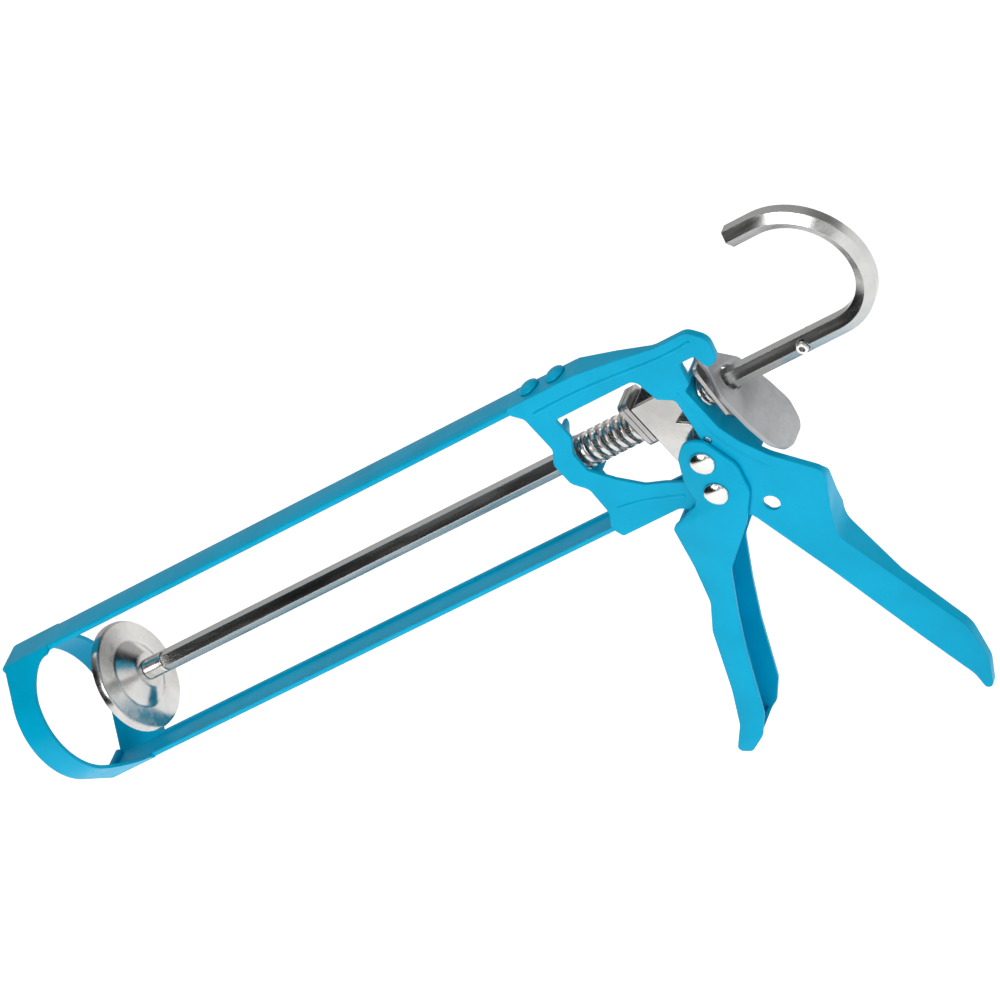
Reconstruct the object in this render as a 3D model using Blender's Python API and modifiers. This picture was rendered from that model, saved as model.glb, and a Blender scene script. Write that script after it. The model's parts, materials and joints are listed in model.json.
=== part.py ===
"""Skeleton caulking gun: a hoop and two rails, a pressed rear frame with handle, a hex push rod with hook.

While it is modelled, X runs along the rod from the nozzle end (-X) to the hook (+X), Z is up, the rod's
axis is the line y = z = 0, and x = 0 is at the resting plunger. At the end the whole gun is carried up
so that its lowest point is at z = 0 and its box is centred on the origin.
"""

import math

import bmesh
import bpy
from mathutils import Matrix, Vector

MM = 0.001

# Sheet metal and the clearances that every fit uses
SHEET = 1.4 * MM
GAP = 0.3 * MM
RUNNING_GAP = 0.4 * MM
ROD_CLEARANCE = 0.55 * MM
SLOT_CLEARANCE = 0.21 * MM

# Cradle that holds the cartridge
HOOP_RADIUS = 26.7 * MM
HOOP_FRONT = -38.7 * MM
HOOP_BAND = 11.9 * MM
GUSSET_RADIUS = 11.0 * MM
RAIL_WIDTH = 12.6 * MM
RAIL_DEPTH = 2.2 * MM
RAIL_STAND = 3.8 * MM
RAIL_END = 249.5 * MM
LIP_RADIUS = 1.8 * MM
RAIL_OVERLAP = 1.3 * MM

# Rear frame: one wall on the -Y side, with its edges folded over towards +Y
RAIL_NEAR_ROOM = 0.7 * MM
RAIL_FAR_ROOM = 0.8 * MM
FRAME_TOP_FOLD_END = 288.0 * MM
PRESSED_EDGE = 1.3 * MM
RAIL_RIVET_XS = (232.0 * MM, 244.5 * MM)
RAIL_RIVET_HEAD = 4.1 * MM
RAIL_RIVET_DOME = 2.1 * MM
RAIL_RIVET_SHANK = 1.6 * MM
RAIL_RIVET_Y = -1.8 * MM
HANDLE_HOLE_X = 282.0 * MM
HANDLE_HOLE_DROP = 13.8 * MM
HANDLE_HOLE_RADIUS = 3.2 * MM
COLUMN_BACK = 287.2 * MM
TOP_FOLD_LOW = 11.0 * MM
STRAP_FAR = 2.6 * MM
UNDER_FOLD_END = 256.0 * MM

# The frame's and the trigger's outlines are drawn for straps this far from the rod's axis
DRAWN_STRAP = 32.2 * MM
FOLLOWS_ABOVE = 19.0 * MM
FOLLOWS_BELOW = -7.0 * MM
FRAME_FOLLOWS_BELOW = -12.0 * MM

# Push rod, its hook and the plunger at its front
ROD_FLATS = 7.0 * MM
ROD_FRONT = 17.0 * MM
HOOK_CENTRE_X = 351.0 * MM
HOOK_RADIUS = 24.0 * MM
HOOK_TIP = 11.5 * MM
SPIGOT_RADIUS = 2.5 * MM
SPIGOT_LENGTH = 17.2 * MM
STOP_PIN_X = 334.0 * MM
STOP_PIN_RADIUS = 2.1 * MM
STOP_PIN_BORE = 1.1 * MM
STOP_PIN_PROUD = 1.1 * MM
CARTRIDGE_ROOM = 3.9 * MM
PLUNGER_THICKNESS = 1.5 * MM
PLUNGER_DISH = 5.3 * MM
COLLAR_RADIUS = 4.1 * MM
COLLAR_LENGTH = 9.0 * MM
WASHER_RADIUS = 5.4 * MM
WASHER_THICKNESS = 1.0 * MM
NUT_CORNERS = 4.6 * MM
NUT_HEIGHT = 3.4 * MM

# Main spring, grip plates and drive block
SPRING_SEAT_X = 226.9 * MM
SPRING_SEAT_THICKNESS = 1.0 * MM
SPRING_SEAT_RADIUS = 6.6 * MM
SPRING_WIRE = 2.0 * MM
SPRING_TURNS = 8
SPRING_END = 257.2 * MM
GRIP_THICKNESS = 1.9 * MM
GRIP_HALF = 6.4 * MM
GRIP_TOP = 12.0 * MM
GRIP_BOTTOM = -7.5 * MM
BLOCK_SIDE_ROOM = 0.2 * MM
BLOCK_LENGTH = 21.0 * MM
BLOCK_TOP = 9.5 * MM
BLOCK_NOTCH = 10.4 * MM
BLOCK_FOOT_ROOM = 4.7 * MM
BLOCK_HEEL_RISE = 4.4 * MM
BLOCK_HEEL_SLOPE = 3.0 * MM

# Trigger, its two rivets and the block's stop pin
PIVOT_X = 268.3 * MM
PIVOT_DROP = 0.1 * MM
DRIVE_X = 272.9 * MM
DRIVE_RISE = 12.9 * MM
RIVET_RADIUS = 2.5 * MM
RIVET_HEAD = 4.7 * MM
RIVET_DOME = 1.9 * MM
SPACER_RADIUS = 4.6 * MM
BLOCK_STOP_X = 279.8 * MM
BLOCK_STOP_RISE = 6.2 * MM
BLOCK_STOP_RADIUS = 1.3 * MM

# Release lever, brake plate and their spring
LEVER_HINGE = (296.4 * MM, 15.2 * MM)
LEVER_SHEET = 2.0 * MM
LEVER_TILT = 7.3
BRAKE_TOP = (294.0 * MM, 12.0 * MM)
BRAKE_LENGTH = 26.0 * MM
BRAKE_HALF = 6.4 * MM
BRAKE_THICKNESS = 1.6 * MM
BRAKE_TILT = -4.7
RELEASE_SPRING_WIRE = 1.4 * MM
RELEASE_SPRING_TURNS = 2
RELEASE_SPRING_END = 291.4 * MM

# Sizes that follow from the ones above
RAIL_OUTER_HEIGHT = HOOP_RADIUS + RAIL_STAND
PLUNGER_RADIUS = HOOP_RADIUS - SHEET - CARTRIDGE_ROOM
FRAME_INNER = RAIL_WIDTH / 2 + GAP + RAIL_NEAR_ROOM
FRAME_NEAR = FRAME_INNER + SHEET
FRAME_FAR = RAIL_WIDTH / 2 + GAP + RAIL_FAR_ROOM
STRAP_HEIGHT = RAIL_OUTER_HEIGHT + GAP + SHEET
PIVOT = (PIVOT_X, -STRAP_HEIGHT - PIVOT_DROP)
DRIVE = (DRIVE_X, PIVOT[1] + DRIVE_RISE)
BLOCK_STOP = (BLOCK_STOP_X, DRIVE[1] + BLOCK_STOP_RISE)
HANDLE_HOLE = (HANDLE_HOLE_X, -STRAP_HEIGHT - HANDLE_HOLE_DROP)
BLOCK_BOTTOM = PIVOT[1] + SPACER_RADIUS + BLOCK_FOOT_ROOM
TRIGGER_INNER = FRAME_NEAR + RUNNING_GAP
TRIGGER_HALF = TRIGGER_INNER + SHEET
ROD_CORNERS = ROD_FLATS / math.sqrt(3)
ROD_BORE = ROD_CORNERS + ROD_CLEARANCE
SPIGOT_BORE = SPIGOT_RADIUS + GAP
SPRING_RADIUS = ROD_BORE + SPRING_WIRE
RELEASE_SPRING_RADIUS = ROD_BORE + RELEASE_SPRING_WIRE + RUNNING_GAP
BLOCK_HALF = ROD_BORE + BLOCK_SIDE_ROOM + SHEET
BOSS_X = ROD_FRONT - GAP - COLLAR_LENGTH - GAP
SPRING_START = SPRING_SEAT_X + SPRING_SEAT_THICKNESS + GAP
GRIP_X = SPRING_END + GAP
BLOCK_X = GRIP_X + 2 * (GRIP_THICKNESS + GAP)
BLOCK_FOOT_X = DRIVE[0] - RIVET_RADIUS - RUNNING_GAP

# Cutters start before and end after what they cut
CUT_PAST = 5.0 * MM
FRAME_FROM = 205.0 * MM
FRAME_TO = 325.0 * MM
SPIGOT_ROOT = 1.0 * MM

WELD = 0.004 * MM
ARC_POINTS = 6
FACETS_SMALL = 20
FACETS_ROUND = 32
FACETS_HOOP = 64


def clear_scene():
    for old in list(bpy.data.objects):
        bpy.data.objects.remove(old, do_unlink=True)


clear_scene()
parts = bpy.data.collections.new("caulking_gun")
cutters = bpy.data.collections.new("cutters")
for group in (parts, cutters):
    bpy.context.scene.collection.children.link(group)


def material(name, colour, roughness, metallic):
    made = bpy.data.materials.new(name)
    made.use_nodes = True
    shader = made.node_tree.nodes["Principled BSDF"]
    shader.inputs["Base Color"].default_value = (*colour, 1.0)
    shader.inputs["Roughness"].default_value = roughness
    shader.inputs["Metallic"].default_value = metallic
    return made


BLUE = material("blue_paint", (0.0, 0.38, 0.66), 0.35, 0.0)
CHROME = material("bright_steel", (0.72, 0.72, 0.71), 0.18, 1.0)
ZINC = material("zinc_plate", (0.55, 0.56, 0.57), 0.38, 1.0)
SPRING_STEEL = material("spring_steel", (0.5, 0.5, 0.5), 0.25, 1.0)


def finish(obj, look, collection=parts):
    """Files an object under its collection, with its material and smooth round faces."""
    for holder in list(obj.users_collection):
        holder.objects.unlink(obj)
    collection.objects.link(obj)
    obj.data.materials.clear()
    if look:
        obj.data.materials.append(look)
    if obj.type == "MESH":
        obj.data.shade_smooth()
        obj.data.set_sharp_from_angle(angle=math.radians(35))
    if collection is cutters:
        obj.hide_render = True
        obj.display_type = "WIRE"
    return obj


def baked(obj, name, look, collection=parts):
    """The object's evaluated shape as a plain mesh in world space; the object itself is removed."""
    if not obj.users_collection:
        bpy.context.scene.collection.objects.link(obj)
    bpy.context.view_layer.update()
    graph = bpy.context.evaluated_depsgraph_get()
    mesh = bpy.data.meshes.new_from_object(obj.evaluated_get(graph))
    shape = bmesh.new()
    shape.from_mesh(mesh)
    shape.transform(obj.matrix_world)
    bmesh.ops.remove_doubles(shape, verts=shape.verts, dist=WELD)
    bmesh.ops.recalc_face_normals(shape, faces=shape.faces)
    shape.to_mesh(mesh)
    shape.free()
    bpy.data.objects.remove(obj, do_unlink=True)
    result = bpy.data.objects.new(name, mesh)
    return finish(result, look, collection)


def arc(centre, radius, start, end, count):
    """Points on an arc, angles in degrees, both ends included."""
    step = (end - start) / (count - 1)
    angles = [math.radians(start + step * i) for i in range(count)]
    return [(centre[0] + radius * math.cos(a), centre[1] + radius * math.sin(a)) for a in angles]


def rounded(corners, count=5):
    """A closed outline whose corners (u, v, radius) are rounded with short arcs."""
    outline = []
    total = len(corners)
    for index, (u, v, radius) in enumerate(corners):
        here = Vector((u, v))
        before = Vector(corners[index - 1][:2]) - here
        after = Vector(corners[(index + 1) % total][:2]) - here
        if radius <= 0:
            outline.append((u, v))
            continue
        half = before.angle(after) / 2
        reach = min(radius / math.tan(half), 0.49 * before.length, 0.49 * after.length)
        fillet = reach * math.tan(half)
        centre = here + (before.normalized() + after.normalized()).normalized() * fillet / math.sin(half)
        first = here + before.normalized() * reach - centre
        last = here + after.normalized() * reach - centre
        turn = first.angle_signed(last)
        for i in range(count):
            spoke = first.copy()
            spoke.rotate(Matrix.Rotation(-turn * i / (count - 1), 2))
            outline.append(tuple(centre + spoke))
    return outline


def inset(corners, depth):
    """The outline a sheet's thickness further in, each corner keeping its centre of rounding."""
    total = len(corners)
    area = 0.0
    for index, (u, v, _) in enumerate(corners):
        after = corners[(index + 1) % total]
        area += u * after[1] - after[0] * v
    inward = 1.0 if area > 0 else -1.0
    moved = []
    for index, (u, v, radius) in enumerate(corners):
        here = Vector((u, v))
        into = (here - Vector(corners[index - 1][:2])).normalized()
        away = (Vector(corners[(index + 1) % total][:2]) - here).normalized()
        normal_in = Vector((-into.y, into.x)) * inward
        normal_out = Vector((-away.y, away.x)) * inward
        shift = (normal_in + normal_out) * depth / (1 + normal_in.dot(normal_out))
        convex = into.cross(away) * inward > 0
        kept = max(radius - depth, 0.15 * MM) if convex else radius + depth
        moved.append((u + shift.x, v + shift.y, kept))
    return moved


SIDE = Matrix.Rotation(math.radians(90), 4, "X")
FRONT = Matrix(((0, 0, 1, 0), (1, 0, 0, 0), (0, 1, 0, 0), (0, 0, 0, 1)))


def plate(name, outline, half, look, holes=(), centre=0.0, facing=SIDE, collection=parts):
    """A flat outline with holes, thickened both ways. SIDE draws it in X and Z, FRONT in Y and Z."""
    curve = bpy.data.curves.new(name, "CURVE")
    curve.dimensions = "2D"
    curve.fill_mode = "BOTH"
    curve.extrude = half
    for loop in (outline, *holes):
        spline = curve.splines.new("POLY")
        spline.points.add(len(loop) - 1)
        for point, (u, v) in zip(spline.points, loop):
            point.co = (u, v, 0, 1)
        spline.use_cyclic_u = True
    obj = bpy.data.objects.new(name + "_outline", curve)
    shift = Vector((0, centre, 0)) if facing is SIDE else Vector((centre, 0, 0))
    obj.matrix_world = Matrix.Translation(shift) @ facing
    return baked(obj, name, look, collection)


def rod_between(name, start, end, radius, look, facets=FACETS_SMALL, collection=parts):
    """A round bar from start to end."""
    start = Vector(start)
    axis = Vector(end) - start
    shape = bmesh.new()
    bmesh.ops.create_cone(
        shape, cap_ends=True, segments=facets, radius1=radius, radius2=radius, depth=axis.length
    )
    turn = axis.to_track_quat("Z", "Y").to_matrix().to_4x4()
    shape.transform(Matrix.Translation(start + axis / 2) @ turn)
    mesh = bpy.data.meshes.new(name)
    shape.to_mesh(mesh)
    shape.free()
    return finish(bpy.data.objects.new(name, mesh), look, collection)


def turned(name, profile, look, place, facets=FACETS_ROUND, collection=parts):
    """A closed profile of (radius, height) pairs spun about its own axis, then put in place."""
    mesh = bpy.data.meshes.new(name)
    mesh.from_pydata([(r, 0, h) for r, h in profile], [(i, i + 1) for i in range(len(profile) - 1)], [])
    obj = bpy.data.objects.new(name + "_profile", mesh)
    screw = obj.modifiers.new("Screw", "SCREW")
    screw.steps = facets
    screw.render_steps = facets
    screw.use_merge_vertices = True
    screw.merge_threshold = 0.01 * MM
    obj.matrix_world = place
    return baked(obj, name, look, collection)


def cleaned(mesh):
    """Welded triangles, which the next Boolean can read exactly."""
    shape = bmesh.new()
    shape.from_mesh(mesh)
    bmesh.ops.remove_doubles(shape, verts=shape.verts, dist=WELD)
    bmesh.ops.triangulate(shape, faces=shape.faces)
    shape.to_mesh(mesh)
    shape.free()
    mesh.shade_smooth()
    mesh.set_sharp_from_angle(angle=math.radians(35))
    return mesh


def boolean(target, tools, operation="DIFFERENCE"):
    """Takes the tools away from the target, or joins them on, all in one step."""
    group = bpy.data.collections.new(target.name + "_" + operation.lower())
    cutters.children.link(group)
    for tool in tools:
        for holder in list(tool.users_collection):
            holder.objects.unlink(tool)
        group.objects.link(tool)
        cleaned(tool.data)
        tool.hide_render = True
        tool.display_type = "WIRE"
    cleaned(target.data)
    change = target.modifiers.new("Boolean", "BOOLEAN")
    change.operation = operation
    change.operand_type = "COLLECTION"
    change.collection = group
    change.solver = "EXACT"
    bpy.context.view_layer.update()
    graph = bpy.context.evaluated_depsgraph_get()
    mesh = bpy.data.meshes.new_from_object(target.evaluated_get(graph))
    target.modifiers.remove(change)
    target.data = cleaned(mesh)
    return target


ALONG_X = Matrix.Rotation(math.radians(90), 4, "Y")
ALONG_Y = Matrix.Rotation(math.radians(-90), 4, "X")


def along_x(x):
    return Matrix.Translation((x, 0, 0)) @ ALONG_X


def along_y(x, z):
    return Matrix.Translation((x, 0, z)) @ ALONG_Y


# ---------------------------------------------------------------- cradle


def hoop_outline(offset):
    """The hoop seen from the front: a circle drawn out to the rails by straight tangents."""
    radius = HOOP_RADIUS - offset
    corner_y = RAIL_WIDTH / 2 - offset * 0.4
    corner_z = RAIL_OUTER_HEIGHT - offset
    reach = math.hypot(corner_y, corner_z)
    tangent = math.degrees(math.atan2(corner_z, corner_y) - math.acos(radius / reach))
    right = arc((0, 0), radius, -tangent, tangent, FACETS_HOOP // 3)
    left = [(-y, -z) for y, z in right]
    top = [(corner_y, corner_z), (-corner_y, corner_z)]
    bottom = [(-y, -z) for y, z in top]
    return [*right, *top, *left, *bottom]


def hoop_trim():
    """Side view of what is cut away behind the hoop: the band's rear edge curves back into the rails."""
    rear = HOOP_FRONT + HOOP_BAND
    far = rear + 3 * GUSSET_RADIUS
    rail_edge = RAIL_OUTER_HEIGHT - RAIL_DEPTH
    centre = (rear + GUSSET_RADIUS, rail_edge - GUSSET_RADIUS)
    top = arc(centre, GUSSET_RADIUS, 180, 90, 8)
    bottom = [(x, -z) for x, z in reversed(top)]
    return [*top, (far, rail_edge), (far, -rail_edge), *bottom]


def rail(name, side):
    """A rail: a shallow channel, its web outside, side +1 on top and -1 below."""
    web = RAIL_OUTER_HEIGHT
    edge = RAIL_WIDTH / 2
    section = [
        (-edge, web - RAIL_DEPTH, 0),
        (-edge, web, 0.8 * MM),
        (edge, web, 0.8 * MM),
        (edge, web - RAIL_DEPTH, 0),
        (edge - SHEET, web - RAIL_DEPTH, 0),
        (edge - SHEET, web - SHEET, 0),
        (SHEET - edge, web - SHEET, 0),
        (SHEET - edge, web - RAIL_DEPTH, 0),
    ]
    start = HOOP_FRONT + HOOP_BAND + GUSSET_RADIUS - RAIL_OVERLAP
    length = RAIL_END - start
    outline = [(y, z * side) for y, z in rounded(section, 3)]
    return plate(name, outline, length / 2, BLUE, centre=start + length / 2, facing=FRONT)


def cradle():
    depth = HOOP_BAND + GUSSET_RADIUS
    hoop = plate(
        "cradle",
        hoop_outline(0.0),
        depth / 2,
        BLUE,
        holes=[hoop_outline(SHEET)],
        centre=HOOP_FRONT + depth / 2,
        facing=FRONT,
    )
    joined = []
    removed = [plate("hoop_trim", hoop_trim(), 2 * HOOP_RADIUS, None, collection=cutters)]
    boolean(hoop, removed)
    removed = []
    for side in (1, -1):
        joined.append(rail("rail", side))
        lip_z = side * (RAIL_OUTER_HEIGHT - LIP_RADIUS)
        lip_y = RAIL_WIDTH / 2 - GAP
        lip_x = HOOP_FRONT - 0.2 * LIP_RADIUS
        joined.append(rod_between("lip", (lip_x, -lip_y, lip_z), (lip_x, lip_y, lip_z), LIP_RADIUS, BLUE))
        for x in RAIL_RIVET_XS:
            low, high = (side * (RAIL_OUTER_HEIGHT + past) for past in (-CUT_PAST, CUT_PAST))
            ends = (x, RAIL_RIVET_Y, low), (x, RAIL_RIVET_Y, high)
            removed.append(rod_between("rail_hole", *ends, RAIL_RIVET_SHANK + GAP, None))
    boolean(hoop, joined, "UNION")
    return boolean(hoop, removed)


# ---------------------------------------------------------------- rear frame

FRAME = [
    (223.0, 32.2, 1.2),
    (255.0, 32.2, 8.0),
    (272.0, 30.2, 20.0),
    (290.0, 27.4, 12.0),
    (304.2, 27.4, 5.0),
    (309.6, 21.3, 5.0),
    (306.5, 12.4, 3.5),
    (301.4, 11.6, 1.4),
    (300.4, 17.8, 1.4),
    (293.2, 17.8, 1.6),
    (290.6, 9.0, 3.0),
    (287.2, 7.6, 1.5),
    (287.2, -10.5, 3.0),
    (289.8, -19.0, 8.0),
    (295.5, -29.0, 14.0),
    (308.8, -44.0, 4.5),
    (300.0, -57.0, 12.0),
    (293.4, -68.0, 9.0),
    (300.7, -94.0, 40.0),
    (309.2, -124.0, 12.0),
    (306.0, -139.0, 8.0),
    (299.5, -149.0, 2.5),
    (296.8, -148.6, 1.5),
    (297.2, -141.5, 12.0),
    (291.0, -118.5, 40.0),
    (281.5, -80.0, 40.0),
    (272.2, -46.8, 5.0),
    (258.0, -38.0, 8.0),
    (250.5, -32.2, 5.0),
    (223.2, -32.2, 1.2),
    (221.4, -27.5, 2.0),
    (225.6, -21.5, 5.0),
    (226.2, -10.0, 4.0),
    (221.8, -4.8, 4.0),
    (221.8, 4.8, 4.0),
    (226.2, 10.0, 4.0),
    (226.2, 25.5, 3.0),
    (222.6, 29.5, 1.2),
]
WINDOW = [
    (236.0, 20.0, 1.5),
    (274.0, 20.0, 3.5),
    (275.5, 9.5, 1.5),
    (281.3, 6.0, 2.0),
    (278.8, -8.0, 5.0),
    (277.0, -15.0, 3.0),
    (277.6, -24.8, 2.0),
    (262.0, -25.0, 4.0),
    (253.0, -20.5, 5.0),
    (246.0, -18.0, 5.0),
    (238.0, -11.0, 4.0),
    (231.2, -3.0, 3.0),
    (231.6, 5.0, 3.0),
    (236.0, 11.0, 3.0),
]


def scaled(corners):
    return [(x * MM, z * MM, r * MM) for x, z, r in corners]


def in_metres(corners):
    return rounded(scaled(corners), ARC_POINTS)


def with_straps(corners, below=FOLLOWS_BELOW):
    """An outline in metres, with what lies towards the straps and beyond them moved along with them."""
    shift = STRAP_HEIGHT - DRAWN_STRAP
    moved = []
    for u, v, *radius in corners:
        if v > FOLLOWS_ABOVE:
            v += shift
        elif v < below:
            v -= shift
        moved.append((u, v, *radius))
    return moved


def soften(obj, width, angle=60):
    """Rounds the pressed edges before anything is cut away."""
    bevel = obj.modifiers.new("Bevel", "BEVEL")
    bevel.width = width
    bevel.segments = 2
    bevel.limit_method = "ANGLE"
    bevel.angle_limit = math.radians(angle)
    bpy.context.view_layer.update()
    graph = bpy.context.evaluated_depsgraph_get()
    mesh = bpy.data.meshes.new_from_object(obj.evaluated_get(graph))
    obj.modifiers.remove(bevel)
    obj.data = mesh
    return finish(obj, mesh.materials[0])


def fold_cutters():
    """Where the folded edge is shallower than full depth: along the handle's back and over the knob."""
    far = FRAME_FAR + CUT_PAST
    least = PRESSED_EDGE + SHEET - FRAME_NEAR
    handle = [
        (far, -64.0 * MM),
        (4.3 * MM, -64.0 * MM),
        (-3.2 * MM, -94.0 * MM),
        (-5.7 * MM, -155.0 * MM),
        (far, -155.0 * MM),
    ]
    shoulder = [
        (far, -22.0 * MM),
        (least, -24.0 * MM),
        (least, -43.0 * MM),
        (4.3 * MM, -64.0 * MM),
        (far, -64.0 * MM),
    ]
    front = [
        (far, -38.5 * MM),
        (-1.4 * MM, -43.0 * MM),
        (-1.4 * MM, -80.0 * MM),
        (far, -80.0 * MM),
    ]
    top = [
        (FRAME_FROM, far),
        (FRAME_FROM, STRAP_FAR),
        (254.5 * MM, 1.8 * MM),
        (FRAME_TOP_FOLD_END, least),
        (FRAME_TO, least),
        (FRAME_TO, far),
    ]
    flat = Matrix.Identity(4)
    long_x = (290.0 * MM, 30.0 * MM)
    front_x = (275.0 * MM, 10.5 * MM)
    back_x = (303.0 * MM, 10.5 * MM)
    under = [
        (FRAME_FROM, far),
        (FRAME_FROM, STRAP_FAR),
        (UNDER_FOLD_END, STRAP_FAR),
        (UNDER_FOLD_END, far),
    ]
    made = []
    folds = (("front", front, front_x), ("handle", handle, long_x), ("shoulder", shoulder, back_x))
    for label, outline, (middle, half) in folds:
        name = label + "_fold"
        line = with_straps(outline)
        made.append(plate(name, line, half, None, centre=middle, facing=FRONT, collection=cutters))
    high = STRAP_HEIGHT + CUT_PAST
    half = (high - TOP_FOLD_LOW) / 2
    for label, outline, side in (("top_fold", top, 1), ("under_fold", under, -1)):
        cutter = plate(label, outline, half, None, facing=flat, collection=cutters)
        cutter.data.transform(Matrix.Translation((0, 0, side * (TOP_FOLD_LOW + half))))
        made.append(cutter)
    return made


def rear_frame():
    centre = (FRAME_FAR - FRAME_NEAR) / 2
    half = (FRAME_FAR + FRAME_NEAR) / 2
    corners = with_straps(scaled(FRAME), FRAME_FOLLOWS_BELOW)
    outer = rounded(corners, ARC_POINTS)
    inner = rounded(inset(corners, SHEET), ARC_POINTS)
    opening = rounded(with_straps(scaled(WINDOW)), ARC_POINTS)
    frame = soften(plate("rear_frame", outer, half, BLUE, centre=centre), PRESSED_EDGE)
    tray_half = half + SHEET
    tray_centre = tray_half - FRAME_INNER
    removed = [
        plate("tray_hollow", inner, tray_half, None, centre=tray_centre, collection=cutters),
        plate("window", opening, 2 * FRAME_NEAR, None, collection=cutters),
        rod_between("rod_bore", (FRAME_FROM, 0, 0), (FRAME_TO, 0, 0), ROD_BORE, None),
        *fold_cutters(),
    ]
    slot_half = RAIL_WIDTH / 2 + GAP
    for side in (1, -1):
        slot = [
            (-slot_half, side * (RAIL_OUTER_HEIGHT - RAIL_DEPTH - GAP)),
            (slot_half, side * (RAIL_OUTER_HEIGHT - RAIL_DEPTH - GAP)),
            (slot_half, side * (RAIL_OUTER_HEIGHT + SLOT_CLEARANCE)),
            (-slot_half, side * (RAIL_OUTER_HEIGHT + SLOT_CLEARANCE)),
        ]
        reach = (RAIL_END + GAP - FRAME_FROM) / 2
        removed.append(plate("rail_slot", slot, reach, None, centre=FRAME_FROM + reach, facing=FRONT))
        for x in RAIL_RIVET_XS:
            low, high = (side * (STRAP_HEIGHT + past) for past in (-CUT_PAST, CUT_PAST))
            ends = (x, RAIL_RIVET_Y, low), (x, RAIL_RIVET_Y, high)
            removed.append(rod_between("strap_hole", *ends, RAIL_RIVET_SHANK + GAP, None))
    holes = (
        (*PIVOT, RIVET_RADIUS + GAP),
        (*HANDLE_HOLE, HANDLE_HOLE_RADIUS),
        (*BLOCK_STOP, BLOCK_STOP_RADIUS + GAP),
    )
    for x, z, radius in holes:
        ends = (x, -2 * FRAME_NEAR, z), (x, 2 * FRAME_NEAR, z)
        removed.append(rod_between("frame_hole", *ends, radius, None))
    return boolean(frame, removed)


# ---------------------------------------------------------------- rivets


def dome(radius, height, base, steps=5):
    """Half of a rivet head's outline, from its crown down to its rim."""
    points = []
    for i in range(steps):
        angle = math.radians(90 - 90 * i / (steps - 1))
        points.append((radius * math.cos(angle), base + height * math.sin(angle)))
    return points


def rail_rivet(name, x, side):
    """A short rivet through a strap and a rail end, its head outside."""
    head = STRAP_HEIGHT + GAP
    tail = RAIL_OUTER_HEIGHT - SHEET - GAP
    profile = [
        *dome(RAIL_RIVET_HEAD, RAIL_RIVET_DOME, head),
        (RAIL_RIVET_SHANK, head),
        (RAIL_RIVET_SHANK, tail),
        (RAIL_RIVET_SHANK * 1.5, tail),
        (RAIL_RIVET_SHANK * 1.5, tail - 0.8 * MM),
        (0, tail - 0.8 * MM),
    ]
    place = Matrix.Translation((x, RAIL_RIVET_Y, 0)) @ Matrix.Scale(side, 4, (0, 0, 1))
    return turned(name, profile, BLUE, place, FACETS_SMALL)


def cross_rivet(name, x, z, half, look=CHROME):
    """A rivet across the gun with a domed head on both sides."""
    upper = dome(RIVET_HEAD, RIVET_DOME, half + GAP)
    lower = [(r, -h) for r, h in reversed(upper)]
    profile = [*upper, (RIVET_RADIUS, half + GAP), (RIVET_RADIUS, -half - GAP), *lower]
    return turned(name, profile, look, along_y(x, z), 24)


def sleeve(name, x, z, inner, outer, low, high, look):
    profile = [(inner, high), (outer, high), (outer, low), (inner, low), (inner, high)]
    return turned(name, profile, look, along_y(x, z), 24)


def block_stop_pin():
    """Small pin in the frame's wall that the drive block comes back against."""
    head = GAP - FRAME_INNER
    profile = [
        *dome(BLOCK_STOP_RADIUS * 1.7, 1.4 * MM, head),
        (BLOCK_STOP_RADIUS, head),
        (BLOCK_STOP_RADIUS, -FRAME_NEAR),
        (0, -FRAME_NEAR),
    ]
    return turned("block_stop_pin", profile, CHROME, along_y(*BLOCK_STOP), FACETS_SMALL)


# ---------------------------------------------------------------- springs, grip plates, drive block


def coil(name, start, end, radius, wire, turns, look, per_turn=14):
    """A compression spring along the rod, with its end turns closed."""
    mean = radius - wire / 2
    total = int(turns * per_turn)
    curve = bpy.data.curves.new(name, "CURVE")
    curve.dimensions = "3D"
    curve.bevel_depth = wire / 2
    curve.bevel_resolution = 2
    curve.use_fill_caps = True
    spline = curve.splines.new("POLY")
    spline.points.add(total)
    closed = 1.0 / turns
    for i, point in enumerate(spline.points):
        share = i / total
        angle = 2 * math.pi * turns * share
        eased = min(max((share - closed * 0.5) / (1 - closed), 0.0), 1.0)
        x = start + wire / 2 + (end - start - wire) * (0.12 * share + 0.88 * eased)
        point.co = (x, mean * math.cos(angle), mean * math.sin(angle), 1)
    obj = bpy.data.objects.new(name + "_path", curve)
    return baked(obj, name, look)


def grip_plate(name, x):
    """One of the two plates that bite on the rod."""
    half = GRIP_HALF
    outline = [
        (-half, GRIP_BOTTOM, 3 * MM),
        (half, GRIP_BOTTOM, 3 * MM),
        (half, GRIP_TOP, 2 * MM),
        (-half, GRIP_TOP, 2 * MM),
    ]
    hole = arc((0, 0), ROD_BORE, 0, 345, 24)
    centre = x + GRIP_THICKNESS / 2
    return plate(name, rounded(outline), GRIP_THICKNESS / 2, ZINC, [hole], centre, FRONT)


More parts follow.
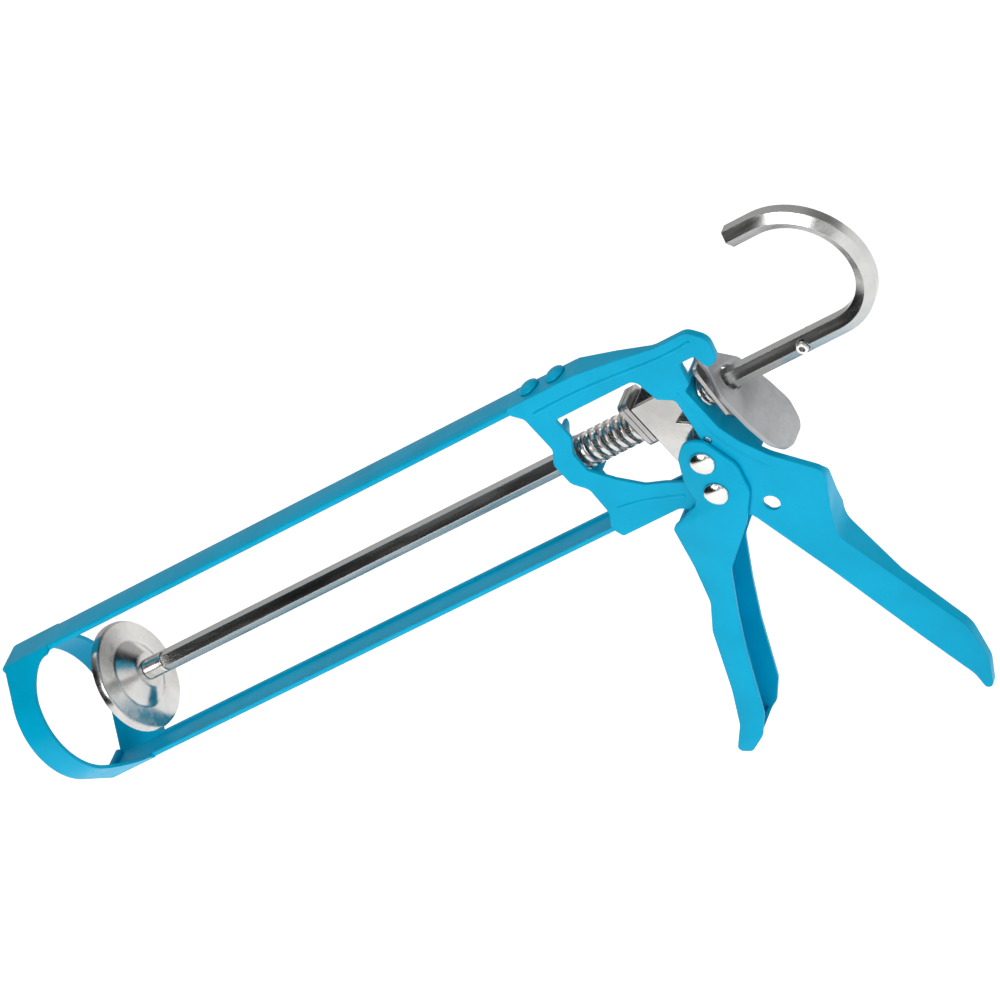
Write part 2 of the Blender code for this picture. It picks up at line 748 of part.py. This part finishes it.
def drive_block():
    """Channel bracket over the rod that the upper rivet pushes forward."""
    front = BLOCK_X
    back = BLOCK_X + BLOCK_LENGTH
    foot = BLOCK_FOOT_X
    notch = back - BLOCK_NOTCH
    heel = DRIVE[1] + BLOCK_HEEL_RISE
    outline = [
        (front, BLOCK_TOP, 1.0 * MM),
        (back, BLOCK_TOP, 1.0 * MM),
        (back - 1.0 * MM, 1.5 * MM, 0.6 * MM),
        (notch, -3.0 * MM, 0.4 * MM),
        (back - 5.0 * MM, -6.5 * MM, 1.2 * MM),
        (foot + BLOCK_HEEL_SLOPE, heel + BLOCK_HEEL_SLOPE, 4.0 * MM),
        (foot, heel, 2.0 * MM),
        (foot, BLOCK_BOTTOM, 3.0 * MM),
        (front, BLOCK_BOTTOM, 4.5 * MM),
    ]
    block = plate("drive_block", rounded(outline), BLOCK_HALF, CHROME)
    soften(block, 0.6 * MM)
    inside = [
        (front + SHEET, BLOCK_TOP + CUT_PAST),
        (back + CUT_PAST, BLOCK_TOP + CUT_PAST),
        (back + CUT_PAST, BLOCK_BOTTOM - CUT_PAST),
        (front + SHEET, BLOCK_BOTTOM - CUT_PAST),
    ]
    removed = [
        plate("block_inside", inside, BLOCK_HALF - SHEET, None, collection=cutters),
        rod_between("block_bore", (front - CUT_PAST, 0, 0), (front + CUT_PAST, 0, 0), ROD_BORE, None),
    ]
    return boolean(block, removed)


# ---------------------------------------------------------------- trigger

TRIGGER = [
    (272.0, -8.8, 7.0),
    (266.0, -13.8, 6.0),
    (260.6, -23.5, 8.0),
    (259.0, -32.6, 4.0),
    (250.0, -35.5, 4.0),
    (243.4, -37.0, 3.0),
    (238.8, -54.0, 25.0),
    (233.0, -70.0, 12.0),
    (224.6, -80.8, 12.0),
    (212.8, -105.4, 30.0),
    (204.4, -119.7, 10.0),
    (195.2, -129.0, 1.8),
    (200.5, -131.6, 2.0),
    (208.4, -127.8, 4.0),
    (216.0, -119.7, 8.0),
    (228.8, -95.0, 30.0),
    (238.2, -79.2, 15.0),
    (249.5, -62.0, 10.0),
    (268.4, -48.5, 12.0),
    (279.6, -37.5, 8.0),
    (283.2, -26.0, 8.0),
    (279.0, -11.5, 6.0),
]
TRIGGER_BACK = [
    (225.0, -2.0, 0.0),
    (225.0, -38.5, 0.0),
    (250.0, -38.5, 0.0),
    (248.0, -48.0, 0.0),
    (243.0, -62.0, 0.0),
    (232.0, -80.0, 0.0),
    (222.0, -98.0, 0.0),
    (213.0, -114.0, 0.0),
    (203.0, -127.0, 0.0),
    (209.0, -137.0, 0.0),
    (235.0, -118.0, 0.0),
    (262.0, -80.0, 0.0),
    (300.0, -60.0, 0.0),
    (300.0, -2.0, 0.0),
]


def trigger():
    """Channel lever astride the frame: its web is in front, and it is open at the back and over the arm."""
    corners = with_straps(scaled(TRIGGER))
    lever = soften(plate("trigger", rounded(corners, ARC_POINTS), TRIGGER_HALF, BLUE), 1.2 * MM)
    hollow = rounded(inset(corners, SHEET))
    back = rounded(with_straps(scaled(TRIGGER_BACK)), ARC_POINTS)
    removed = [
        plate("trigger_hollow", hollow, TRIGGER_INNER, None, collection=cutters),
        plate("trigger_back", back, TRIGGER_INNER, None, collection=cutters),
    ]
    for x, z in (PIVOT, DRIVE):
        ends = (x, -2 * TRIGGER_HALF, z), (x, 2 * TRIGGER_HALF, z)
        removed.append(rod_between("trigger_hole", *ends, RIVET_RADIUS + GAP, None))
    return boolean(lever, removed)


# ---------------------------------------------------------------- rod and plunger


def push_rod():
    """Hex bar, bent round at the rear into a hook, turned down at the front into a spigot."""
    bar = bpy.data.curves.new("hex_section", "CURVE")
    bar.dimensions = "2D"
    hexagon = bar.splines.new("POLY")
    hexagon.points.add(5)
    for i, point in enumerate(hexagon.points):
        angle = math.radians(60 * i)
        point.co = (ROD_CORNERS * math.cos(angle), ROD_CORNERS * math.sin(angle), 0, 1)
    hexagon.use_cyclic_u = True
    section = bpy.data.objects.new("hex_section", bar)
    bpy.context.scene.collection.objects.link(section)

    centre = (HOOK_CENTRE_X, HOOK_RADIUS)
    bend = arc(centre, HOOK_RADIUS, -90, 90, 33)
    tip = (HOOK_CENTRE_X - HOOK_TIP, 2 * HOOK_RADIUS)
    route = [(ROD_FRONT, 0), *bend, tip]
    path = bpy.data.curves.new("rod_path", "CURVE")
    path.dimensions = "3D"
    path.twist_mode = "MINIMUM"
    path.bevel_mode = "OBJECT"
    path.bevel_object = section
    path.use_fill_caps = True
    spline = path.splines.new("POLY")
    spline.points.add(len(route) - 1)
    for point, (x, z) in zip(spline.points, route):
        point.co = (x, 0, z, 1)
    rod = baked(bpy.data.objects.new("rod_path", path), "push_rod", CHROME)
    bpy.data.objects.remove(section, do_unlink=True)

    end = ROD_FRONT - SPIGOT_LENGTH
    root = ROD_FRONT + SPIGOT_ROOT
    boolean(rod, [rod_between("spigot", (end, 0, 0), (root, 0, 0), SPIGOT_RADIUS, CHROME)], "UNION")
    radius = STOP_PIN_RADIUS + GAP
    ends = (STOP_PIN_X, -ROD_FLATS, 0), (STOP_PIN_X, ROD_FLATS, 0)
    hole = rod_between("pin_hole", *ends, radius, None)
    return boolean(rod, [hole])


def plunger_disc():
    """Pressed dish: a flat flange with a rolled rim, and a cone up to a boss on the rod side."""
    flange = BOSS_X - PLUNGER_DISH
    thick = PLUNGER_THICKNESS
    rear = [
        (SPIGOT_BORE, BOSS_X),
        (6.2 * MM, BOSS_X),
        (7.2 * MM, BOSS_X - 0.6 * MM),
        (12.2 * MM, flange + 0.7 * MM),
        (13.4 * MM, flange),
        (PLUNGER_RADIUS - 1.4 * MM, flange),
        (PLUNGER_RADIUS - 0.4 * MM, flange - 0.5 * MM),
        (PLUNGER_RADIUS, flange - 1.5 * MM),
        (PLUNGER_RADIUS, flange - 3.2 * MM),
    ]
    front = [
        (PLUNGER_RADIUS - thick, flange - 3.2 * MM),
        (PLUNGER_RADIUS - thick, flange - thick),
        (13.0 * MM, flange - thick),
        (11.6 * MM, flange - 0.8 * MM),
        (6.6 * MM, BOSS_X - thick - 0.4 * MM),
        (SPIGOT_BORE, BOSS_X - thick),
        (SPIGOT_BORE, BOSS_X),
    ]
    return turned("plunger_disc", [*rear, *front], ZINC, along_x(0), 48)


def ring_on_rod(name, inner, outer, x0, x1, look, facets=24):
    profile = [(inner, x1), (outer, x1), (outer, x0), (inner, x0), (inner, x1)]
    return turned(name, profile, look, along_x(0), facets)


def plunger_nut(x1):
    """Hex nut with a bore, against the washer on the front of the plunger."""
    outline = arc((0, 0), NUT_CORNERS, 0, 300, 6)
    hole = arc((0, 0), SPIGOT_BORE, 0, 342, 20)
    half = NUT_HEIGHT / 2
    return plate("plunger_nut", outline, half, ZINC, [hole], x1 - half, FRONT)


def stop_pin():
    """Spring pin through the rod, which stops it from sliding out forwards."""
    half = ROD_CORNERS + STOP_PIN_PROUD
    return sleeve("rod_stop_pin", STOP_PIN_X, 0, STOP_PIN_BORE, STOP_PIN_RADIUS, -half, half, CHROME)


# ---------------------------------------------------------------- release lever and brake plate


def tilted(obj, degrees, point):
    """Leans a plate about an axis along Y through the point; positive carries its lower end back."""
    pivot = Matrix.Translation((point[0], 0, point[1]))
    obj.data.transform(pivot @ Matrix.Rotation(math.radians(-degrees), 4, "Y") @ pivot.inverted())
    return obj


def release_lever():
    """Thumb plate: hangs from the notch under the knob with the rod through it."""
    sides = [
        (3.4, 15.2, 1.0),
        (4.6, 9.0, 4.0),
        (10.8, 0.5, 5.0),
        (12.3, -14.0, 14.0),
        (12.0, -24.0, 8.0),
        (7.0, -32.0, 7.0),
    ]
    left = [(-y, z, r) for y, z, r in reversed(sides)]
    outline = in_metres([*sides, *left])
    hole = arc((0, 0), ROD_BORE + GAP, 0, 345, 24)
    blank = plate("release_lever", outline, LEVER_SHEET / 2, ZINC, [hole], LEVER_HINGE[0], FRONT)
    soften(blank, 0.35 * MM)
    return tilted(blank, LEVER_TILT, LEVER_HINGE)


def brake_plate():
    """Small plate on the rod in front of the thumb plate; its slant makes it bite."""
    top_x, top_z = BRAKE_TOP
    bottom = top_z - BRAKE_LENGTH
    outline = [
        (-BRAKE_HALF, top_z, 2 * MM),
        (BRAKE_HALF, top_z, 2 * MM),
        (BRAKE_HALF, bottom + 5 * MM, 1.5 * MM),
        (0.4 * BRAKE_HALF, bottom, 1.5 * MM),
        (-0.4 * BRAKE_HALF, bottom, 1.5 * MM),
        (-BRAKE_HALF, bottom + 5 * MM, 1.5 * MM),
    ]
    hole = arc((0, 0), ROD_BORE + GAP, 0, 345, 24)
    blank = plate("brake_plate", rounded(outline), BRAKE_THICKNESS / 2, ZINC, [hole], top_x, FRONT)
    return tilted(blank, BRAKE_TILT, BRAKE_TOP)


# ---------------------------------------------------------------- assembly


def set_origin(obj, point):
    """Moves an object's origin onto its joint's axis, leaving its shape where it is."""
    place = Vector(point)
    obj.data.transform(Matrix.Translation(-place))
    obj.location = place


def build():
    cradle()
    rear_frame()
    for label, side in (("top", 1), ("bottom", -1)):
        for end, x in zip(("front", "rear"), RAIL_RIVET_XS):
            rail_rivet(f"{label}_rail_rivet_{end}", x, side)
    seat_end = SPRING_SEAT_X + SPRING_SEAT_THICKNESS
    ring_on_rod("spring_washer", ROD_BORE, SPRING_SEAT_RADIUS, SPRING_SEAT_X, seat_end, ZINC)
    coil("main_spring", SPRING_START, SPRING_END, SPRING_RADIUS, SPRING_WIRE, SPRING_TURNS, SPRING_STEEL)
    grip_plate("grip_plate_front", GRIP_X)
    grip_plate("grip_plate_rear", GRIP_X + GRIP_THICKNESS + GAP)
    drive_block()
    lever = trigger()
    cross_rivet("trigger_pivot_rivet", *PIVOT, TRIGGER_HALF)
    upper = cross_rivet("drive_rivet", *DRIVE, TRIGGER_HALF)
    spacer = (GAP - FRAME_INNER, TRIGGER_INNER - GAP)
    sleeve("pivot_spacer", *PIVOT, RIVET_RADIUS + GAP, SPACER_RADIUS, *spacer, ZINC)
    block_stop_pin()
    rod = push_rod()
    pin = stop_pin()
    plunger_disc()
    collar_end = ROD_FRONT - GAP
    collar_start = collar_end - COLLAR_LENGTH
    collar = ring_on_rod("plunger_collar", SPIGOT_BORE, COLLAR_RADIUS, collar_start, collar_end, CHROME)
    washer_end = BOSS_X - PLUNGER_THICKNESS - GAP
    washer_start = washer_end - WASHER_THICKNESS
    washer = ring_on_rod("plunger_washer", SPIGOT_BORE, WASHER_RADIUS, washer_start, washer_end, ZINC)
    nut = plunger_nut(washer_start - GAP)
    thumb = release_lever()
    brake = brake_plate()
    coil(
        "release_spring",
        COLUMN_BACK + GAP,
        RELEASE_SPRING_END,
        RELEASE_SPRING_RADIUS,
        RELEASE_SPRING_WIRE,
        RELEASE_SPRING_TURNS,
        SPRING_STEEL,
    )
    for piece in (lever, upper):
        set_origin(piece, (PIVOT[0], 0, PIVOT[1]))
    for piece in (thumb, brake):
        set_origin(piece, (LEVER_HINGE[0], 0, LEVER_HINGE[1]))
    for piece in (rod, pin, collar, washer, nut):
        set_origin(piece, (ROD_FRONT, 0, 0))


def stand_on_origin():
    """Carries the whole gun so that its box is centred over the origin and stands on z = 0."""
    bpy.context.view_layer.update()
    corners = [obj.matrix_world @ vertex.co for obj in parts.objects for vertex in obj.data.vertices]
    low = Vector([min(c[i] for c in corners) for i in range(3)])
    high = Vector([max(c[i] for c in corners) for i in range(3)])
    base = bpy.data.objects.new("gun_base", None)
    parts.objects.link(base)
    base.location = (-(low.x + high.x) / 2, -(low.y + high.y) / 2, -low.z)
    for obj in [*parts.objects, *cutters.all_objects]:
        if obj is not base:
            obj.parent = base


build()
stand_on_origin()
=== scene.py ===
import json
import math

import bpy
from mathutils import Matrix, Vector


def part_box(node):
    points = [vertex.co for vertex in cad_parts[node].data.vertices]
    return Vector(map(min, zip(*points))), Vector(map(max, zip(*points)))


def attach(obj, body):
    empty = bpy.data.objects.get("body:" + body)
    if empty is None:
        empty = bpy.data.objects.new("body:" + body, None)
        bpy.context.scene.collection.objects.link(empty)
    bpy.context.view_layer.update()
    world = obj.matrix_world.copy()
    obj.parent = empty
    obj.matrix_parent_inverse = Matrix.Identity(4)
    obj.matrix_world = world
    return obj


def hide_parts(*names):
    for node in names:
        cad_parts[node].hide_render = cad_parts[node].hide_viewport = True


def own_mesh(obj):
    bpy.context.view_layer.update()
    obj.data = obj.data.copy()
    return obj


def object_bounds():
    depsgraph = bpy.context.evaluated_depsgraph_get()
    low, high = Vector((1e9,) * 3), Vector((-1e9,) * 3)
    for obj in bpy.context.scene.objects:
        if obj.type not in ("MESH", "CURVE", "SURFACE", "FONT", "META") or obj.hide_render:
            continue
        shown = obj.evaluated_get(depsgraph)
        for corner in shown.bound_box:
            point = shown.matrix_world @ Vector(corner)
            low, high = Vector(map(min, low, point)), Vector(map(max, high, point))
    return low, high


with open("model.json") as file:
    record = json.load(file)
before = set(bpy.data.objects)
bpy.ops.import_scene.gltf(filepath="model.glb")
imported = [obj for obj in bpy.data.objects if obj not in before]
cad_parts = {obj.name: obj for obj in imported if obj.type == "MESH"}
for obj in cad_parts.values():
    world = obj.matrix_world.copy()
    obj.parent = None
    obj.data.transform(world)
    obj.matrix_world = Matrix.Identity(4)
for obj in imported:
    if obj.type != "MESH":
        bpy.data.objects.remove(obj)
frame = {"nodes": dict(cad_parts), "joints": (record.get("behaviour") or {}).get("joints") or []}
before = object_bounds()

nodes = frame["nodes"]
scene = bpy.context.scene
MM = 0.001

# The gun's own coordinates are in millimetres, from a point on the rod's axis at its front end.
FRONT_TO_ORIGIN = 0.2
rod_low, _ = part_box("push_rod")
spin = next(j for j in frame["joints"] if j["name"] == "rod_spin")
ORIGIN = Vector((rod_low.x + FRONT_TO_ORIGIN * MM, spin["pos_m"][1], spin["pos_m"][2]))


def at(x, y, z):
    """A place in the gun's own millimetres, as a world position in metres."""
    return ORIGIN + Vector((x, y, z)) * MM


# ---------------------------------------------------------------- materials


class Look:
    """A Principled material with helpers that add texture nodes to it."""

    def __init__(self, name):
        self.material = bpy.data.materials.new(name)
        self.material.use_nodes = True
        self.tree = self.material.node_tree
        self.shader = self.tree.nodes["Principled BSDF"]
        self.coords = self.node("ShaderNodeTexCoord").outputs["Object"]

    def node(self, kind, **settings):
        made = self.tree.nodes.new(kind)
        for key, value in settings.items():
            setattr(made, key, value)
        return made

    def join(self, out, into):
        self.tree.links.new(out, into)

    def noise(self, scale, detail=4.0, rough=0.55, stretch=None):
        tex = self.node("ShaderNodeTexNoise")
        tex.inputs["Scale"].default_value = scale
        tex.inputs["Detail"].default_value = detail
        tex.inputs["Roughness"].default_value = rough
        source = self.coords
        if stretch:
            mapping = self.node("ShaderNodeMapping")
            mapping.inputs["Scale"].default_value = stretch
            self.join(source, mapping.inputs["Vector"])
            source = mapping.outputs["Vector"]
        self.join(source, tex.inputs["Vector"])
        return tex.outputs["Fac"]

    def ramp(self, source, stops):
        ramp = self.node("ShaderNodeValToRGB")
        elements = ramp.color_ramp.elements
        while len(elements) < len(stops):
            elements.new(0.5)
        for element, (place, colour) in zip(elements, stops):
            element.position = place
            element.color = (*colour, 1.0) if len(colour) == 3 else colour
        self.join(source, ramp.inputs["Fac"])
        return ramp.outputs["Color"]

    def spread(self, source, low, high):
        made = self.node("ShaderNodeMapRange")
        made.inputs["From Min"].default_value = 0.3
        made.inputs["From Max"].default_value = 0.7
        made.inputs["To Min"].default_value = low
        made.inputs["To Max"].default_value = high
        self.join(source, made.inputs["Value"])
        return made.outputs["Result"]

    def bump(self, source, strength, distance, edge=0.0):
        bump = self.node("ShaderNodeBump")
        bump.inputs["Strength"].default_value = strength
        bump.inputs["Distance"].default_value = distance
        self.join(source, bump.inputs["Height"])
        if edge:
            bevel = self.node("ShaderNodeBevel", samples=4)
            bevel.inputs["Radius"].default_value = edge
            self.join(bevel.outputs["Normal"], bump.inputs["Normal"])
        self.join(bump.outputs["Normal"], self.shader.inputs["Normal"])


def enamel():
    """Glossy blue enamel with a slight orange peel, a little thinner in places."""
    look = Look("blue_enamel")
    base = look.ramp(
        look.noise(38.0, 5.0),
        [(0.30, (0.0, 0.345, 0.560)), (0.52, (0.0, 0.385, 0.625)), (0.75, (0.0, 0.415, 0.660))],
    )
    look.join(base, look.shader.inputs["Base Color"])
    look.join(look.spread(look.noise(90.0, 3.0), 0.26, 0.40), look.shader.inputs["Roughness"])
    look.shader.inputs["Coat Weight"].default_value = 0.05
    look.shader.inputs["Coat Roughness"].default_value = 0.12
    look.shader.inputs["Specular IOR Level"].default_value = 0.07
    look.bump(look.noise(700.0, 2.0), 0.10, 0.0004, edge=0.0006)
    return look.material


def metal(name, dark, light, rough, stretch, grain=260.0, edge=0.0004, strength=0.06):
    """Bare metal whose tint and roughness vary a little, with a fine grain drawn out by stretch."""
    look = Look(name)
    tint = look.ramp(look.noise(30.0, 6.0, stretch=stretch), [(0.30, dark), (0.70, light)])
    look.join(tint, look.shader.inputs["Base Color"])
    look.shader.inputs["Metallic"].default_value = 1.0
    gloss = look.spread(look.noise(grain, 4.0, stretch=stretch), *rough)
    look.join(gloss, look.shader.inputs["Roughness"])
    look.bump(look.noise(grain * 2, 3.0, stretch=stretch), strength, 0.0003, edge=edge)
    return look.material


ALONG = (0.08, 1.0, 1.0)
EVEN = (1.0, 1.0, 1.0)
BLUE = enamel()
ROD = metal(
    "rod_steel", (0.44, 0.44, 0.43), (0.74, 0.74, 0.72), (0.16, 0.32), ALONG, strength=0.10
)
BRIGHT = metal("polished_rivet", (0.66, 0.66, 0.64), (0.88, 0.88, 0.86), (0.10, 0.22), EVEN)
DISC = metal("pressed_zinc", (0.44, 0.43, 0.41), (0.76, 0.75, 0.73), (0.16, 0.32), EVEN)
PLATE = metal("hardened_plate", (0.34, 0.33, 0.32), (0.62, 0.61, 0.60), (0.24, 0.42), EVEN)
SATIN = metal(
    "satin_zinc", (0.35, 0.36, 0.37), (0.48, 0.49, 0.50), (0.42, 0.58), EVEN, 500.0, strength=0.08
)
COIL = metal("spring_wire", (0.48, 0.47, 0.45), (0.78, 0.77, 0.75), (0.14, 0.28), EVEN)

LOOKS = {
    "cradle": BLUE,
    "rear_frame": BLUE,
    "trigger": BLUE,
    "push_rod": ROD,
    "rod_stop_pin": BRIGHT,
    "plunger_collar": BRIGHT,
    "plunger_disc": DISC,
    "plunger_washer": DISC,
    "plunger_nut": DISC,
    "drive_block": DISC,
    "grip_plate_front": PLATE,
    "grip_plate_rear": PLATE,
    "brake_plate": PLATE,
    "release_lever": SATIN,
    "spring_washer": DISC,
    "pivot_spacer": DISC,
    "main_spring": COIL,
    "release_spring": COIL,
    "trigger_pivot_rivet": BRIGHT,
    "drive_rivet": BRIGHT,
    "block_stop_pin": BRIGHT,
}


def dress(obj, look, angle=32):
    """Gives an object its material, and smooth shading that breaks at its sharp edges."""
    obj.data.materials.clear()
    obj.data.materials.append(look)
    for polygon in obj.data.polygons:
        polygon.use_smooth = True
    weld = obj.modifiers.new("Weld", "WELD")
    weld.merge_threshold = 2e-6
    split = obj.modifiers.new("Split", "EDGE_SPLIT")
    split.split_angle = math.radians(angle)


for name, obj in nodes.items():
    dress(obj, LOOKS.get(name, BLUE))


# ---------------------------------------------------------------- springs


def spring(node):
    """A spring in place of its CAD node, fixed to the frame."""
    source = nodes[node]
    piece = bpy.data.objects.new(node + "_wire", source.data.copy())
    piece.matrix_world = source.matrix_world
    scene.collection.objects.link(piece)
    dress(piece, COIL)
    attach(piece, "frame")
    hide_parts(node)
    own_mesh(piece)


# Node, joint, the fixed end along the rod in the gun's millimetres, and the share of its length that is left
SPRINGS = (
    ("main_spring", "trigger_pivot", 228.2, 0.735),
    ("release_spring", "release_pivot", 287.5, 0.62),
)
for node, joint, fixed_x, keep in SPRINGS:
    spring(node)


# ---------------------------------------------------------------- pressed details


def bead(name, points, radius, look, body):
    """A pressed bead: a thin rounded ridge that follows the points."""
    curve = bpy.data.curves.new(name, "CURVE")
    curve.dimensions = "3D"
    curve.bevel_depth = radius * MM
    curve.bevel_resolution = 3
    curve.use_fill_caps = True
    curve.resolution_u = 8
    spline = curve.splines.new("NURBS")
    spline.points.add(len(points) - 1)
    for point, (x, y, z) in zip(spline.points, points):
        point.co = (*at(x, y, z), 1)
    spline.use_endpoint_u = True
    spline.order_u = 3
    obj = bpy.data.objects.new(name, curve)
    scene.collection.objects.link(obj)
    curve.materials.append(look)
    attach(obj, body)


WALL = -8.1
ARM_BEAD = 0.95
COLUMN_BEAD = 0.8
BEADS = {
    "upper_arm_bead": (ARM_BEAD, ((231, 25.8), (250, 26.2), (272, 24.6), (292, 22.6), (303, 23.6))),
    "lower_arm_bead": (ARM_BEAD, ((230, -21.5), (238, -22.5), (247, -25.2), (256, -28.6))),
    "column_bead": (
        COLUMN_BEAD,
        ((284.2, 8), (283.2, -2), (283.6, -12), (287.0, -24), (292.0, -33)),
    ),
}
for name, (radius, line) in BEADS.items():
    bead(name, [(x, WALL, z) for x, z in line], radius, BLUE, "frame")


# ---------------------------------------------------------------- floor, light and camera

FLOOR_SIZE = 40.0
FLOOR_DROP = 0.0005
floor_look = Look("pale_floor")
floor_look.join(
    floor_look.ramp(floor_look.noise(3.0, 2.0), [(0.3, (0.90, 0.90, 0.90)), (0.7, (0.93, 0.93, 0.93))]),
    floor_look.shader.inputs["Base Color"],
)
floor_look.shader.inputs["Emission Color"].default_value = (1.0, 1.0, 1.0, 1.0)
floor_look.shader.inputs["Emission Strength"].default_value = 0.62
floor_look.shader.inputs["Roughness"].default_value = 0.9
floor_look.shader.inputs["Specular IOR Level"].default_value = 0.1
bpy.ops.mesh.primitive_plane_add(size=FLOOR_SIZE, location=(0, 0, before[0][2] - FLOOR_DROP))
floor = bpy.context.object
floor.name = "floor"
floor.data.materials.append(floor_look.material)

# White all round, with two dark patches for the metal to reflect.
# Each has a direction, and the cosines to it where the dark begins and where it is deepest.
DARK_PATCHES = (
    ((-0.604, -0.663, 0.441), 0.45, 0.86),
    ((0.82, 0.35, 0.46), 0.80, 0.95),
)
WORLD_STRENGTH = 0.5

world = bpy.data.worlds.new("studio")
scene.world = world
world.use_nodes = True
tree = world.node_tree
background = tree.nodes["Background"]
coords = tree.nodes.new("ShaderNodeTexCoord")
shade = None
for towards, start, end in DARK_PATCHES:
    dot = tree.nodes.new("ShaderNodeVectorMath")
    dot.operation = "DOT_PRODUCT"
    dot.inputs[1].default_value = Vector(towards).normalized()
    tree.links.new(coords.outputs["Generated"], dot.inputs[0])
    ramp = tree.nodes.new("ShaderNodeValToRGB")
    ramp.color_ramp.elements[0].position = start
    ramp.color_ramp.elements[0].color = (1.0, 1.0, 1.0, 1.0)
    ramp.color_ramp.elements[1].position = end
    ramp.color_ramp.elements[1].color = (0.02, 0.02, 0.02, 1.0)
    tree.links.new(dot.outputs["Value"], ramp.inputs["Fac"])
    if shade is None:
        shade = ramp.outputs["Color"]
    else:
        both = tree.nodes.new("ShaderNodeVectorMath")
        both.operation = "MULTIPLY"
        tree.links.new(shade, both.inputs[0])
        tree.links.new(ramp.outputs["Color"], both.inputs[1])
        shade = both.outputs["Vector"]
tree.links.new(shade, background.inputs["Color"])
background.inputs["Strength"].default_value = WORLD_STRENGTH

centre = at(170, 0, -10)


def area_light(name, place, size, power):
    """A round soft light that faces the gun's middle."""
    data = bpy.data.lights.new(name, "AREA")
    data.shape = "DISK"
    data.size = size
    data.energy = power
    light = bpy.data.objects.new(name, data)
    light.location = centre + Vector(place)
    light.rotation_euler = (-Vector(place)).to_track_quat("-Z", "Y").to_euler()
    scene.collection.objects.link(light)


area_light("key", (0.1, -1.7, 0.9), 1.1, 17.0)
area_light("fill", (1.5, -0.2, 0.9), 1.2, 3.0)
area_light("rim", (-0.6, 0.6, 1.6), 1.0, 4.0)

# The camera looks at a point on the gun from this far off, turned about its own axis by the roll
AZIMUTH = math.radians(40.192)
ELEVATION = math.radians(20.732)
ROLL = math.radians(43.222)
DISTANCE = 2599.9
LENS = 265.3
target = at(185.84, 0, -2.345)
level = math.cos(ELEVATION)
back = Vector((math.sin(AZIMUTH) * level, -math.cos(AZIMUTH) * level, math.sin(ELEVATION)))
right = Vector((math.cos(AZIMUTH), math.sin(AZIMUTH), 0))
up = back.cross(right)
across = right * math.cos(ROLL) - up * math.sin(ROLL)
above = right * math.sin(ROLL) + up * math.cos(ROLL)
camera_data = bpy.data.cameras.new("camera")
camera_data.lens = LENS
camera_data.sensor_width = 36.0
camera_data.clip_end = 100.0
camera_data.dof.use_dof = False
camera = bpy.data.objects.new("camera", camera_data)
scene.collection.objects.link(camera)
turn = Matrix((across, above, back)).transposed().to_4x4()
camera.matrix_world = Matrix.Translation(target + back * DISTANCE * MM) @ turn
scene.camera = camera

scene.view_settings.view_transform = "Standard"
scene.view_settings.look = "None"
